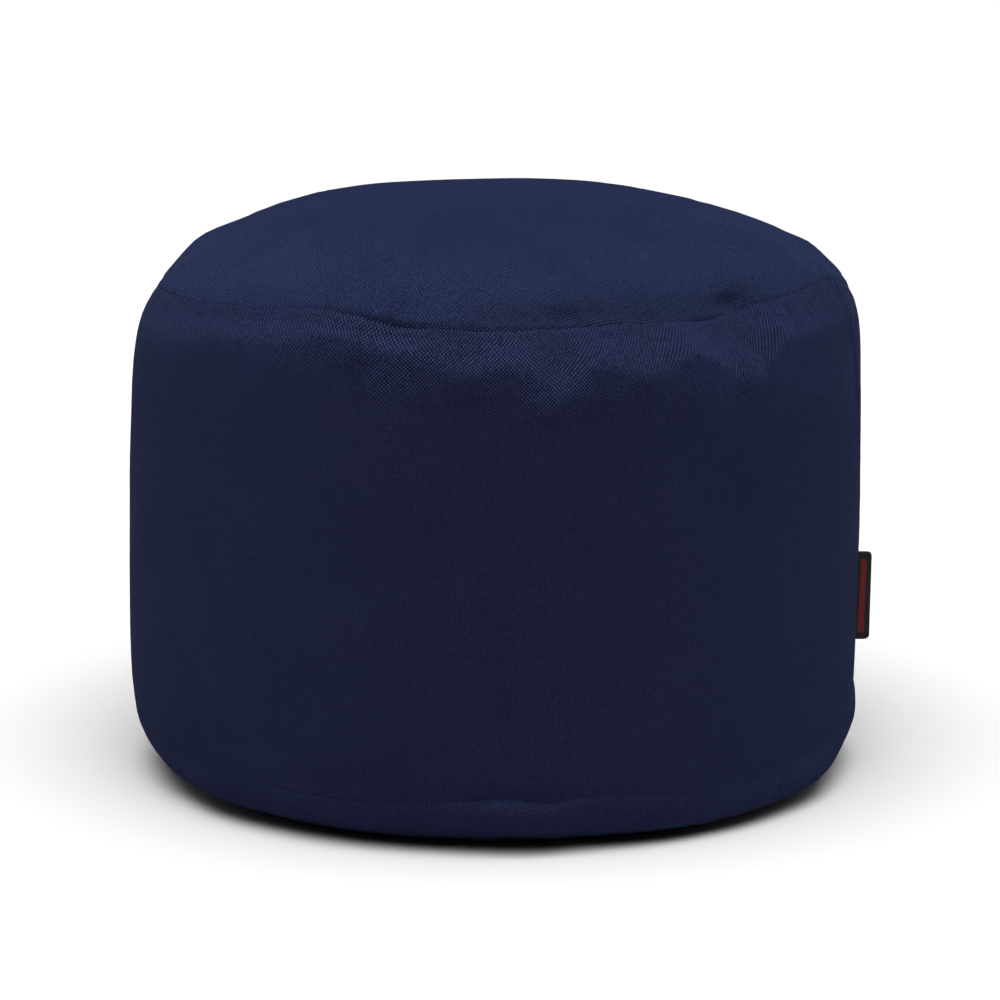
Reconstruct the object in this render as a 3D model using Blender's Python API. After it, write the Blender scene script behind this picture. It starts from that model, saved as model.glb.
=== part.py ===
"""Bean bag footstool: a round pouf of woven cloth, filled tight with beads.

Metres, +Z up. The origin is the middle of the flat patch that the pouf rests on, the front is -Y and
the side tab is at +X. Azimuths are degrees from the front, turning towards +X.

The whole outside is modelled first, as one closed skin with the seams and folds in it. The filled side
panel, the top round and the base round are then taken out of that skin, so their folds run on from one
piece to the next.
"""

import math
from collections import namedtuple

import bmesh
import bpy
from mathutils import Matrix, Vector

MM = 0.001

# Driving sizes
FULL_RADIUS = 0.2500  # of the side panel at its fullest
FULL_HEIGHT = 0.130  # height at which it is fullest
CROWN_HEIGHT = 0.390  # top of the crown above the floor
TOP_SEAM_HEIGHT = 0.337  # mean height of the seam round the top
TOP_SEAM_RADIUS = 0.2325
BASE_SEAM_HEIGHT = 0.037  # mean height of the seam round the base
PATCH_RADIUS = 0.202  # of the flat patch that rests on the floor
CORNER_HEIGHT = 0.070  # height over which the bottom edge rounds up into the side
CLOTH = 0.0020  # thickness of the woven cloth, with its backing
GAP = 0.00035  # clearance between neighbouring pieces
COLUMNS = 120  # steps round the pouf
WELD = 0.00001  # distance under which the turned skin's points are one

# Shape of the bottom edge, the shoulder under the top seam, and the crown
CORNER_POWER = 3.2
BARREL_DROP = 0.0058  # slow draw-in of the side towards the top
SHOULDER_POWER = 12.0  # the rest of the draw-in happens close under the seam
CROWN_POWER = 3.4
CROWN_FULLNESS = 0.79

# Rows of the skin: depths below the top seam, heights of the bottom edge, distances in from the seam
WALL_STEPS = (0.003, 0.008, 0.014, 0.023, 0.034, 0.050, 0.072, 0.104, 0.146, 0.192, 0.238, 0.272)
CORNER_STEPS = (0.0, 0.003, 0.009, 0.018, 0.028)
CROWN_STEPS = (0.004, 0.012, 0.024, 0.042, 0.068, 0.105, 0.155)

# How far the pouf leans to +X at each height
Lean = namedtuple("Lean", "height shift")
LEANS = (
    Lean(0.000, 0.0000),
    Lean(0.100, -0.0020),
    Lean(0.200, -0.0010),
    Lean(0.260, 0.0000),
    Lean(0.337, 0.0025),
    Lean(0.390, 0.0020),
)

# How far each seam rises above its mean height, round the pouf, in millimetres
Rise = namedtuple("Rise", "azimuth rise")
TOP_SEAM_RISES = (
    Rise(-90, -7.5),
    Rise(-76, 0.0),
    Rise(-58, 2.2),
    Rise(-45, 6.5),
    Rise(-29, 11.5),
    Rise(-13, 4.2),
    Rise(-1, 2.5),
    Rise(13, 4.8),
    Rise(25, 4.4),
    Rise(36, 2.4),
    Rise(48, 11.3),
    Rise(64, 11.4),
    Rise(84, 0.0),
    Rise(120, -4.5),
    Rise(158, 0.0),
    Rise(190, -2.5),
    Rise(232, 2.5),
)
BASE_SEAM_RISES = (
    Rise(-55, -1.0),
    Rise(-22, -3.0),
    Rise(1, 2.5),
    Rise(8, -0.5),
    Rise(14, 2.5),
    Rise(34, -3.0),
    Rise(66, 1.0),
    Rise(110, -2.0),
    Rise(165, 2.0),
    Rise(220, -2.5),
    Rise(262, 1.5),
)

# Relief across a seam, in millimetres: reach is the distance above it, out is how far the cloth stands out
Relief = namedtuple("Relief", "reach out")
TOP_SEAM_RELIEF = (
    Relief(-14.0, 0.2),
    Relief(-8.0, -0.6),  # row of topstitching
    Relief(-3.0, 0.9),  # allowance turned down under the side panel
    Relief(0.0, -1.6),  # seam
    Relief(4.0, 0.7),
    Relief(12.0, 0.2),
)
BASE_SEAM_RELIEF = (
    Relief(-9.0, 0.4),
    Relief(0.0, -1.6),
    Relief(28.0, 0.0),
)

# Folds at a seam, in millimetres: reach is the middle's distance above the seam, length and width are
# half sizes, depth is out (+) or in (-), and turn leans the fold's length from upright towards +azimuth
Fold = namedtuple("Fold", "azimuth reach length width depth turn")
TOP_FOLDS = (
    Fold(-96, 34, 15, 48, 4.5, 0),
    Fold(-89, 7, 9, 15, -4.0, 0),
    Fold(-70, -26, 24, 20, 1.2, 0),
    Fold(-45, -26, 22, 20, 1.5, 0),
    Fold(-33, -24, 20, 13, 2.2, 0),
    Fold(-24, -34, 24, 9, -1.6, 8),
    Fold(-17, -5, 6, 22, -3.2, 0),
    Fold(-13, 20, 19, 7, -3.2, 38),
    Fold(-11, -30, 24, 12, 2.0, 0),
    Fold(-3, -36, 24, 14, 2.6, 0),
    Fold(4, -40, 22, 9, -1.6, 0),
    Fold(10, -36, 24, 16, 3.6, 0),
    Fold(11, 6, 8, 15, -3.6, 0),
    Fold(18, -38, 24, 9, -2.2, 0),
    Fold(24, -28, 20, 13, 3.2, 0),
    Fold(25, 2, 5, 9, -1.4, 0),
    Fold(33, -34, 22, 11, -2.4, 12),
    Fold(38, 12, 12, 18, -5.0, 0),
    Fold(43, 2, 5, 9, -2.6, 25),
    Fold(46, -30, 22, 15, 3.6, 0),
    Fold(55, -26, 20, 9, -1.8, 0),
    Fold(63, -18, 14, 12, 1.8, 0),
    Fold(98, 9, 11, 14, -3.0, 0),
    Fold(101, -30, 24, 16, 2.6, 0),
    Fold(122, -4, 6, 18, -2.8, 0),
    Fold(131, -32, 24, 16, 2.6, 0),
    Fold(150, 11, 14, 15, -3.6, -20),
    Fold(159, -30, 22, 15, 2.6, 0),
    Fold(177, -3, 6, 15, -2.6, 0),
    Fold(187, -34, 26, 17, 3.0, 0),
    Fold(206, 9, 10, 14, -3.2, 0),
    Fold(214, -28, 22, 15, 2.6, 0),
    Fold(237, -4, 7, 19, -3.0, 0),
    Fold(247, -32, 24, 16, 2.4, 0),
)
BASE_FOLDS = (
    Fold(-58, -4, 14, 12, -1.5, -20),
    Fold(4, -15, 9, 46, 2.6, 0),
    Fold(34, -20, 13, 58, 4.2, 0),
    Fold(50, -2, 17, 7, -3.6, 35),
    Fold(63, -17, 15, 46, 6.0, 0),
    Fold(100, -14, 10, 34, 2.0, 0),
    Fold(121, -4, 15, 10, -2.6, -20),
    Fold(168, -14, 10, 44, 2.4, 0),
    Fold(212, -3, 15, 10, -2.6, 20),
    Fold(256, -14, 10, 42, 2.0, 0),
)

# The upright seam that closes the side panel slants backwards on its way down
SIDE_SEAM_TOP = 70.5  # its azimuth at the top seam
SIDE_SEAM_FOOT = 97.5  # its azimuth at the base seam
SIDE_SEAM_MIDDLE = (SIDE_SEAM_TOP + SIDE_SEAM_FOOT) / 2.0  # a column of the skin starts here
SIDE_SEAM_DEPTH = 1.2 * MM
SEAM_SPREAD = 55.0  # degrees either side over which the cloth's columns slant with it
SEAM_PINCH = 0.55  # share by which the next columns close up to the seam
PINCH_REACH = 4.0  # degrees either side over which they do

# Ribbon tab, folded double and caught in the side seam
TAB_FOOT = 0.0775
TAB_HEAD = 0.144
TAB_LENGTH = 0.0110  # from the side panel out to the fold
TAB_CLOTH = 0.0010
TAB_ROUNDING = 0.0014  # how much the fold's ends are rounded off
TAB_FOLD_STEPS = 6
TAB_SEAT = 0.00055  # from the bottom of the seam's groove to the tab

CLOTH_ROUGHNESS = 0.85
RIBBON_ROUGHNESS = 0.75
SMOOTH_ANGLE = math.radians(50.0)  # edges sharper than this stay crisp

PANEL, CROWN, BASE = range(3)  # the skin's regions, kept as its faces' material index

SIDE_NAVY = (0.0085, 0.0110, 0.0450)
TOP_NAVY = (0.0130, 0.0200, 0.0750)
BASE_NAVY = (0.0075, 0.0095, 0.0400)
TAB_BLACK = (0.0080, 0.0070, 0.0075)


def eased(t):
    return t * t * (3.0 - 2.0 * t)


def turn_from(start, azimuth):
    """The signed turn in degrees from one azimuth to another, the short way round."""
    return (azimuth - start + 180.0) % 360.0 - 180.0


def between(rows, column, at):
    """The column's value at a place along the first column, easing from row to row."""
    if at <= rows[0][0]:
        return getattr(rows[0], column)
    for low, high in zip(rows, rows[1:]):
        if at <= high[0]:
            share = eased((at - low[0]) / (high[0] - low[0]))
            return getattr(low, column) + share * (getattr(high, column) - getattr(low, column))
    return getattr(rows[-1], column)


def rise_at(rows, azimuth):
    """The rise in metres at an azimuth, round a table that closes on itself."""
    first = rows[0]
    turned = first.azimuth + (azimuth - first.azimuth) % 360.0
    closed = rows + (Rise(first.azimuth + 360.0, first.rise),)
    return between(closed, "rise", turned) * MM


def seam_azimuth(height):
    """Azimuth of the side seam at a height."""
    share = (height - BASE_SEAM_HEIGHT) / (TOP_SEAM_HEIGHT - BASE_SEAM_HEIGHT)
    share = min(1.0, max(0.0, share))
    return SIDE_SEAM_FOOT + share * (SIDE_SEAM_TOP - SIDE_SEAM_FOOT)


def wall_radius(height):
    """Radius of the side and bottom edge, before folds."""
    if height < CORNER_HEIGHT:
        corner = 1.0 - (1.0 - height / CORNER_HEIGHT) ** CORNER_POWER
        return PATCH_RADIUS + (wall_radius(CORNER_HEIGHT) - PATCH_RADIUS) * math.sqrt(corner)
    if height < FULL_HEIGHT:
        return FULL_RADIUS
    share = (height - FULL_HEIGHT) / (TOP_SEAM_HEIGHT - FULL_HEIGHT)
    shoulder_drop = FULL_RADIUS - TOP_SEAM_RADIUS - BARREL_DROP
    return FULL_RADIUS - BARREL_DROP * share**2 - shoulder_drop * share**SHOULDER_POWER


def crown_height(radius):
    """Height of the crown at a distance from the middle, before folds."""
    dome = (1.0 - (radius / TOP_SEAM_RADIUS) ** CROWN_POWER) ** CROWN_FULLNESS
    return TOP_SEAM_HEIGHT + (CROWN_HEIGHT - TOP_SEAM_HEIGHT) * dome


def half_outline():
    """Points from the rim of the flat patch up the side and over to the middle of the crown."""
    heights = list(CORNER_STEPS)
    heights.append(BASE_SEAM_HEIGHT)
    heights += [TOP_SEAM_HEIGHT - step for step in reversed(WALL_STEPS)]
    heights.append(TOP_SEAM_HEIGHT)
    points = [Vector((wall_radius(z), 0.0, z)) for z in heights]
    radii = [TOP_SEAM_RADIUS - step for step in CROWN_STEPS]
    points += [Vector((r, 0.0, crown_height(r))) for r in radii]
    points.append(Vector((0.0, 0.0, CROWN_HEIGHT)))
    return points


def region_of(face):
    height = face.calc_center_median().z
    if height > TOP_SEAM_HEIGHT:
        return CROWN
    return BASE if height < BASE_SEAM_HEIGHT else PANEL


def slanted(azimuth, height):
    """Azimuth of a column once the columns near the side seam slant and close up to it."""
    off = turn_from(SIDE_SEAM_MIDDLE, azimuth)
    slant = (seam_azimuth(height) - SIDE_SEAM_MIDDLE) * math.exp(-((off / SEAM_SPREAD) ** 2))
    pinch = 1.0 - SEAM_PINCH * math.exp(-((off / PINCH_REACH) ** 2))
    return SIDE_SEAM_MIDDLE + off * pinch + slant


def fold_depth(folds, azimuth, reach, radius):
    """Sum of the folds at a place, in metres. reach is in metres above the folds' seam."""
    total = 0.0
    for fold in folds:
        sideways = radius * math.radians(turn_from(fold.azimuth, azimuth)) / MM
        upward = reach / MM - fold.reach
        turn = math.radians(fold.turn)
        across = sideways * math.cos(turn) - upward * math.sin(turn)
        along = sideways * math.sin(turn) + upward * math.cos(turn)
        total += fold.depth * math.exp(-((across / fold.width) ** 2) - (along / fold.length) ** 2)
    return total * MM


def relief_depth(reliefs, reach):
    """Relief across a seam, in metres; nothing beyond the table's ends."""
    at = reach / MM
    if at <= reliefs[0].reach or at >= reliefs[-1].reach:
        return 0.0
    return between(reliefs, "out", at) * MM


def outward_move(azimuth, radius, height):
    """How far the folds and the seams move a point of the turned skin outwards."""
    if height > TOP_SEAM_HEIGHT:
        top_reach = math.hypot(TOP_SEAM_RADIUS - radius, height - TOP_SEAM_HEIGHT)
    else:
        top_reach = height - TOP_SEAM_HEIGHT
    base_reach = height - BASE_SEAM_HEIGHT
    move = relief_depth(TOP_SEAM_RELIEF, top_reach) + relief_depth(BASE_SEAM_RELIEF, base_reach)
    move += fold_depth(TOP_FOLDS, azimuth, top_reach, radius)
    move += fold_depth(BASE_FOLDS, azimuth, base_reach, radius)
    return move


def shape_vertex(vert):
    """Gives a vertex of the turned skin its place and returns its fold and seam move."""
    radius = math.hypot(vert.co.x, vert.co.y)
    height = vert.co.z
    azimuth = math.degrees(math.atan2(vert.co.x, -vert.co.y))
    on_side_seam = abs(azimuth - SIDE_SEAM_MIDDLE) < 180.0 / COLUMNS
    azimuth = slanted(azimuth, height)
    move = outward_move(azimuth, radius, height)
    if on_side_seam and BASE_SEAM_HEIGHT < height < TOP_SEAM_HEIGHT:
        move -= SIDE_SEAM_DEPTH
    if height > TOP_SEAM_HEIGHT:
        top_share = (radius / TOP_SEAM_RADIUS) ** 2
    else:
        top_share = (height / TOP_SEAM_HEIGHT) ** 3
    base_share = max(0.0, 1.0 - abs(height - BASE_SEAM_HEIGHT) / BASE_SEAM_HEIGHT)
    rise = top_share * rise_at(TOP_SEAM_RISES, azimuth) + base_share * rise_at(BASE_SEAM_RISES, azimuth)
    turn = math.radians(azimuth)
    shift = between(LEANS, "shift", height)
    vert.co = Vector((radius * math.sin(turn) + shift, -radius * math.cos(turn), height + rise))
    return move if height > 0.0 else 0.0


def make_skin():
    """The closed outside of the pouf, in triangles, with each face marked by its region."""
    skin = bmesh.new()
    verts = [skin.verts.new(point) for point in half_outline()]
    edges = [skin.edges.new(pair) for pair in zip(verts, verts[1:])]
    bmesh.ops.spin(
        skin,
        geom=verts + edges,
        axis=(0.0, 0.0, 1.0),
        cent=(0.0, 0.0, 0.0),
        steps=COLUMNS,
        angle=math.tau,
        use_merge=True,
    )
    bmesh.ops.remove_doubles(skin, verts=skin.verts[:], dist=WELD)
    rim = [edge for edge in skin.edges if edge.is_boundary]
    bmesh.ops.holes_fill(skin, edges=rim, sides=0)
    bmesh.ops.recalc_face_normals(skin, faces=skin.faces[:])
    for face in skin.faces:
        face.material_index = region_of(face)
    moves = {vert: shape_vertex(vert) for vert in skin.verts}
    skin.normal_update()
    places = {vert: vert.co + vert.normal * move for vert, move in moves.items()}
    for vert, place in places.items():
        vert.co = place
    bmesh.ops.triangulate(skin, faces=skin.faces[:])
    return skin


def filled_panel(skin):
    """The side panel round its filling, sunk under the top round and the base round."""
    body = skin.copy()
    for region in (CROWN, BASE):
        faces = [face for face in body.faces if face.material_index == region]
        bmesh.ops.inset_region(body, faces=faces, thickness=GAP, depth=-(CLOTH + GAP), use_even_offset=True)
    return body


def cloth_round(skin, region):
    """One round of cloth, as a sheet with its outside on the skin."""
    sheet = skin.copy()
    others = [face for face in sheet.faces if face.material_index != region]
    bmesh.ops.delete(sheet, geom=others, context="FACES")
    rim = bmesh.ops.inset_region(sheet, faces=sheet.faces[:], thickness=2.0 * GAP, use_boundary=True)
    bmesh.ops.delete(sheet, geom=rim["faces"], context="FACES")
    bmesh.ops.solidify(sheet, geom=sheet.faces[:], thickness=CLOTH)
    return sheet


def side_seam_point(height):
    """The bottom of the side seam's groove at a height."""
    turn = math.radians(seam_azimuth(height))
    radius = wall_radius(height) - SIDE_SEAM_DEPTH
    radius += fold_depth(BASE_FOLDS, seam_azimuth(height), height - BASE_SEAM_HEIGHT, radius)
    shift = between(LEANS, "shift", height)
    return Vector((radius * math.sin(turn) + shift, -radius * math.cos(turn), height))


def extend(ribbon, edge, step):
    """Pulls the ribbon's last edge on by a step along X and returns the new last edge."""
    made = bmesh.ops.extrude_edge_only(ribbon, edges=[edge])["geom"]
    bmesh.ops.translate(
        ribbon,
        verts=[item for item in made if isinstance(item, bmesh.types.BMVert)],
        vec=(step, 0.0, 0.0),
    )
    edges = [item for item in made if isinstance(item, bmesh.types.BMEdge)]
    return next(item for item in edges if not any(v in edge.verts for v in item.verts))


def make_tab():
    """The folded ribbon: out to its fold and back along X, with its width along Z."""
    ribbon = bmesh.new()
    half_apart = GAP / 2.0 + TAB_CLOTH
    half_width = (side_seam_point(TAB_HEAD) - side_seam_point(TAB_FOOT)).length / 2.0
    fold_at = TAB_LENGTH - half_apart
    start = [ribbon.verts.new((0.0, -half_apart, z)) for z in (-half_width, half_width)]
    edge = ribbon.edges.new(start)
    for step in (fold_at - 2.0 * TAB_ROUNDING, 2.0 * TAB_ROUNDING):
        edge = extend(ribbon, edge, step)
    for vert in edge.verts:
        vert.co.z -= math.copysign(TAB_ROUNDING, vert.co.z)
    turn = bmesh.ops.spin(
        ribbon,
        geom=list(edge.verts) + [edge],
        axis=(0.0, 0.0, 1.0),
        cent=(fold_at, 0.0, 0.0),
        steps=TAB_FOLD_STEPS,
        angle=math.pi,
    )
    edge = next(item for item in turn["geom_last"] if isinstance(item, bmesh.types.BMEdge))
    edge = extend(ribbon, edge, -2.0 * TAB_ROUNDING)
    for vert in edge.verts:
        vert.co.z += math.copysign(TAB_ROUNDING, vert.co.z)
    extend(ribbon, edge, 2.0 * TAB_ROUNDING - fold_at)
    bmesh.ops.recalc_face_normals(ribbon, faces=ribbon.faces[:])
    bmesh.ops.solidify(ribbon, geom=ribbon.faces[:], thickness=TAB_CLOTH)
    bmesh.ops.recalc_face_normals(ribbon, faces=ribbon.faces[:])
    return ribbon


def tab_place():
    """Where the tab stands: Z up the side seam, X straight out from the side."""
    foot = side_seam_point(TAB_FOOT)
    head = side_seam_point(TAB_HEAD)
    middle = (foot + head) / 2.0
    turn = math.radians(seam_azimuth(middle.z))
    up = (head - foot).normalized()
    out = Vector((math.sin(turn), -math.cos(turn), 0.0))
    out = (out - up * out.dot(up)).normalized()
    across = up.cross(out)
    turned = Matrix((out, across, up)).transposed().to_4x4()
    return Matrix.Translation(middle + out * TAB_SEAT) @ turned


def finish(name, colour, roughness):
    """A plain material in the piece's colour."""
    material = bpy.data.materials.new(name)
    material.use_nodes = True
    shader = material.node_tree.nodes["Principled BSDF"]
    shader.inputs["Base Color"].default_value = (*colour, 1.0)
    shader.inputs["Roughness"].default_value = roughness
    shader.inputs["Metallic"].default_value = 0.0
    return material


def add_piece(name, shape, colour, roughness, place=None):
    """Turns a bmesh into a named object with a material of its own."""
    mesh = bpy.data.meshes.new(name)
    for face in shape.faces:
        face.material_index = 0
    shape.to_mesh(mesh)
    shape.free()
    mesh.shade_smooth()
    mesh.set_sharp_from_angle(angle=SMOOTH_ANGLE)
    mesh.materials.append(finish(name, colour, roughness))
    piece = bpy.data.objects.new(name, mesh)
    bpy.context.scene.collection.objects.link(piece)
    if place:
        piece.location = place.to_translation()
        piece.rotation_euler = place.to_euler()
    return piece


for leftover in list(bpy.data.objects):
    bpy.data.objects.remove(leftover, do_unlink=True)

outside = make_skin()
add_piece("side_panel", filled_panel(outside), SIDE_NAVY, CLOTH_ROUGHNESS)
add_piece("top_panel", cloth_round(outside, CROWN), TOP_NAVY, CLOTH_ROUGHNESS)
add_piece("base_panel", cloth_round(outside, BASE), BASE_NAVY, CLOTH_ROUGHNESS)
add_piece("side_tab", make_tab(), TAB_BLACK, RIBBON_ROUGHNESS, tab_place())
outside.free()
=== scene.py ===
import math
import random
from collections import namedtuple

import bmesh
import bpy
import numpy as np
from mathutils import Matrix, Vector
from mathutils.bvhtree import BVHTree
from mathutils.interpolate import poly_3d_calc


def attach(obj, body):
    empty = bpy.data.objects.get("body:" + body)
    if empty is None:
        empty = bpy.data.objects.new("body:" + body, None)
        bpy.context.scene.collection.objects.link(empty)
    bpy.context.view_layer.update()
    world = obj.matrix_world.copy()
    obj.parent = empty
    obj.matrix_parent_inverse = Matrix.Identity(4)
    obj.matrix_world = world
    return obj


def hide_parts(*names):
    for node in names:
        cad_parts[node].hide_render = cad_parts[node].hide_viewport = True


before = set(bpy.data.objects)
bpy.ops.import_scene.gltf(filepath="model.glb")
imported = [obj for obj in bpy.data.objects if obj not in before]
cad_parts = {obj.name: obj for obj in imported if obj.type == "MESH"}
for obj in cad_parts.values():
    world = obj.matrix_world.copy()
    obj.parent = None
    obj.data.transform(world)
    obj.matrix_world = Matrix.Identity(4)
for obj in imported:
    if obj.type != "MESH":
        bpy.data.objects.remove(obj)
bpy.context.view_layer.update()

# ---------------------------------------------------------------------------------------- side cover
# One long strip of navy basket-weave cloth, sewn into a barrel with an upright seam that slants back,
# and filled tight with beads. Its allowance is turned down behind the top edge and topstitched. The
# whole outside of the pouf is shaped here first, so that folds run on over the seams, then cut apart.

MM = 0.001
FULL_RADIUS = 0.2500
FULL_HEIGHT = 0.130
CROWN_HEIGHT = 0.388
TOP_SEAM_HEIGHT = 0.337
TOP_SEAM_RADIUS = 0.2325
BASE_SEAM_HEIGHT = 0.037
PATCH_RADIUS = 0.202
CORNER_HEIGHT = 0.070
CORNER_POWER = 3.2
BARREL_DROP = 0.0058
SHOULDER_POWER = 12.0
CROWN_POWER = 3.4
CROWN_FULLNESS = 0.79
COLUMNS = 480
MERGE_WITHIN = 0.01 * MM
PATCH_RINGS = (60 * MM, 70 * MM)  # widths of the rings of faces inside the flat patch's rim

# Rows of the outside, in millimetres: depths below the top seam, distances in from it, corner heights
WALL_ROWS = (
    0.7, 1.4, 2.3, 3.4, 4.8, 6.2, 7.2, 7.8, 8.4, 9.0, 9.8, 11, 13, 15.5, 18.5, 22, 26, 30.5, 35.5, 41,
    47, 53.5, 61, 70, 80, 92, 105, 120, 135, 150, 165, 180, 195, 209, 222, 234, 244, 253, 261, 268, 274,
    279, 283.5, 287.5, 291, 294, 296.5, 298.4, 299.4,
)
CROWN_ROWS = (0.7, 1.5, 2.6, 4, 6, 8.5, 11.5, 15, 19, 24, 30, 37, 45, 55, 67, 82, 100, 122, 148, 176, 204)
CORNER_ROWS = (0, 0.6, 1.6, 3.2, 5.6, 8.6, 12, 16, 20, 24, 27.5, 30.5, 33, 34.8, 36.1)

# How far the pouf leans to +X at each height
Lean = namedtuple("Lean", "height shift")
LEANS = (
    Lean(0.000, 0.0000),
    Lean(0.100, -0.0020),
    Lean(0.200, -0.0010),
    Lean(0.260, 0.0000),
    Lean(0.337, 0.0025),
    Lean(0.390, 0.0020),
)

# How far each seam rises above its mean height, round the pouf, in millimetres
Rise = namedtuple("Rise", "azimuth rise")
TOP_SEAM_RISES = (
    Rise(-90, -7.5),
    Rise(-76, 0.0),
    Rise(-58, 2.2),
    Rise(-45, 6.5),
    Rise(-29, 11.5),
    Rise(-13, 4.2),
    Rise(-1, 2.5),
    Rise(13, 4.8),
    Rise(25, 4.4),
    Rise(36, 2.4),
    Rise(50, 8.6),
    Rise(66, 11.4),
    Rise(84, 0.0),
    Rise(120, -4.5),
    Rise(158, 0.0),
    Rise(190, -2.5),
    Rise(232, 2.5),
)
BASE_SEAM_RISES = (
    Rise(-55, -1.0),
    Rise(-22, -3.0),
    Rise(1, 2.5),
    Rise(8, -0.5),
    Rise(14, 2.5),
    Rise(34, -3.0),
    Rise(66, 1.0),
    Rise(110, -2.0),
    Rise(165, 2.0),
    Rise(220, -2.5),
    Rise(262, 1.5),
)

# How far below the top seam the filled side turns in towards it, round the pouf, in millimetres: deep
# where a tongue of filling pushes up against the seam's pull, shallow between
SHOULDERS = (
    Rise(-90, 30),
    Rise(-54, 26),
    Rise(-44, 20),
    Rise(-33, 19),
    Rise(-25, 12),
    Rise(-14, 15),
    Rise(-5, 26),
    Rise(0, 18),
    Rise(4, 22),
    Rise(9, 40),
    Rise(15, 22),
    Rise(22.5, 30),
    Rise(31, 18),
    Rise(41.5, 41),
    Rise(50, 22),
    Rise(75, 27),
    Rise(100, 28),
    Rise(118, 34),
    Rise(135, 20),
    Rise(150, 30),
    Rise(172, 22),
    Rise(190, 36),
    Rise(208, 24),
    Rise(226, 32),
    Rise(248, 20),
)
SHOULDER_EASE = 0.008  # rounds the bend where the side starts to turn in

# How much further in than the round's edge the thread holds the top seam, in millimetres
DRAWN_IN = (
    Rise(-90, 0),
    Rise(-62, 0),
    Rise(-30, 1),
    Rise(-12, 5),
    Rise(6, 13),
    Rise(44, 14),
    Rise(55, 6),
    Rise(66, 2),
    Rise(76, 0),
    Rise(96, 1),
    Rise(128, 5),
    Rise(160, 2),
    Rise(192, 5),
    Rise(226, 4),
    Rise(252, 1),
)
DRAWN_REACH = 24 * MM  # how far over the crown the draw fades out
DROP_WITH_DRAW = 0.21  # how far the seam drops for each millimetre that it is drawn in

# How deep the thread draws the top seam in, as a share of the relief below
SEAM_PULLS = (
    Rise(-90, 0.3),
    Rise(-66, 0.35),
    Rise(-40, 0.25),
    Rise(-32, 0.5),
    Rise(-23, 0.9),
    Rise(-17, 1.6),
    Rise(-12, 1.2),
    Rise(-10.5, 0.5),
    Rise(-9, 1.3),
    Rise(-7, 0.5),
    Rise(-4, 1.3),
    Rise(0, 0.5),
    Rise(5, 0.5),
    Rise(10, 1.7),
    Rise(14, 0.8),
    Rise(18, 0.15),
    Rise(31, 0.15),
    Rise(38, 1.6),
    Rise(45, 0.7),
    Rise(62, 0.6),
    Rise(90, 0.9),
    Rise(112, 0.3),
    Rise(128, 1.4),
    Rise(146, 0.4),
    Rise(165, 0.8),
    Rise(178, 1.4),
    Rise(196, 0.3),
    Rise(214, 0.6),
    Rise(236, 1.5),
    Rise(252, 0.4),
)

# How deep the topstitching draws the side in, likewise
STITCH_PULLS = (
    Rise(-90, 0.15),
    Rise(-58, 0.25),
    Rise(-42, 0.35),
    Rise(-30, 0.7),
    Rise(-17, 1.1),
    Rise(-8, 0.5),
    Rise(0, 0.25),
    Rise(48, 0.15),
    Rise(66, 0.5),
    Rise(110, 0.9),
    Rise(150, 0.4),
    Rise(200, 1.0),
    Rise(240, 0.5),
)

# How deep the thread draws the base seam in, likewise
BASE_SEAM_PULLS = (
    Rise(-90, 0.1),
    Rise(-38, 0.1),
    Rise(-30, 0.9),
    Rise(-22, 0.3),
    Rise(-12, 0.3),
    Rise(3, 1.6),
    Rise(18, 0.3),
    Rise(28, 0.8),
    Rise(36, 0.1),
    Rise(90, 0.1),
    Rise(140, 0.8),
    Rise(180, 0.2),
    Rise(215, 0.8),
    Rise(250, 0.2),
)

# Relief across a seam, in millimetres: reach is the distance above it, out is how far the cloth stands out
Relief = namedtuple("Relief", "reach out")
TOP_SEAM_RELIEF = (
    Relief(-8.0, 0.0),
    Relief(-2.6, 0.20),
    Relief(0.0, -0.9),
    Relief(2.8, 0.1),
    Relief(6.0, 0.2),
    Relief(14.0, 0.0),
)
STITCH_RELIEF = (
    Relief(-12.5, 0.0),
    Relief(-8.1, -0.38),
    Relief(-3.0, 0.0),
)
BASE_SEAM_RELIEF = (
    Relief(-12.0, 0.0),
    Relief(-2.5, 0.3),
    Relief(0.0, -0.4),
    Relief(2.5, 0.1),
    Relief(10.0, 0.0),
)

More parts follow.
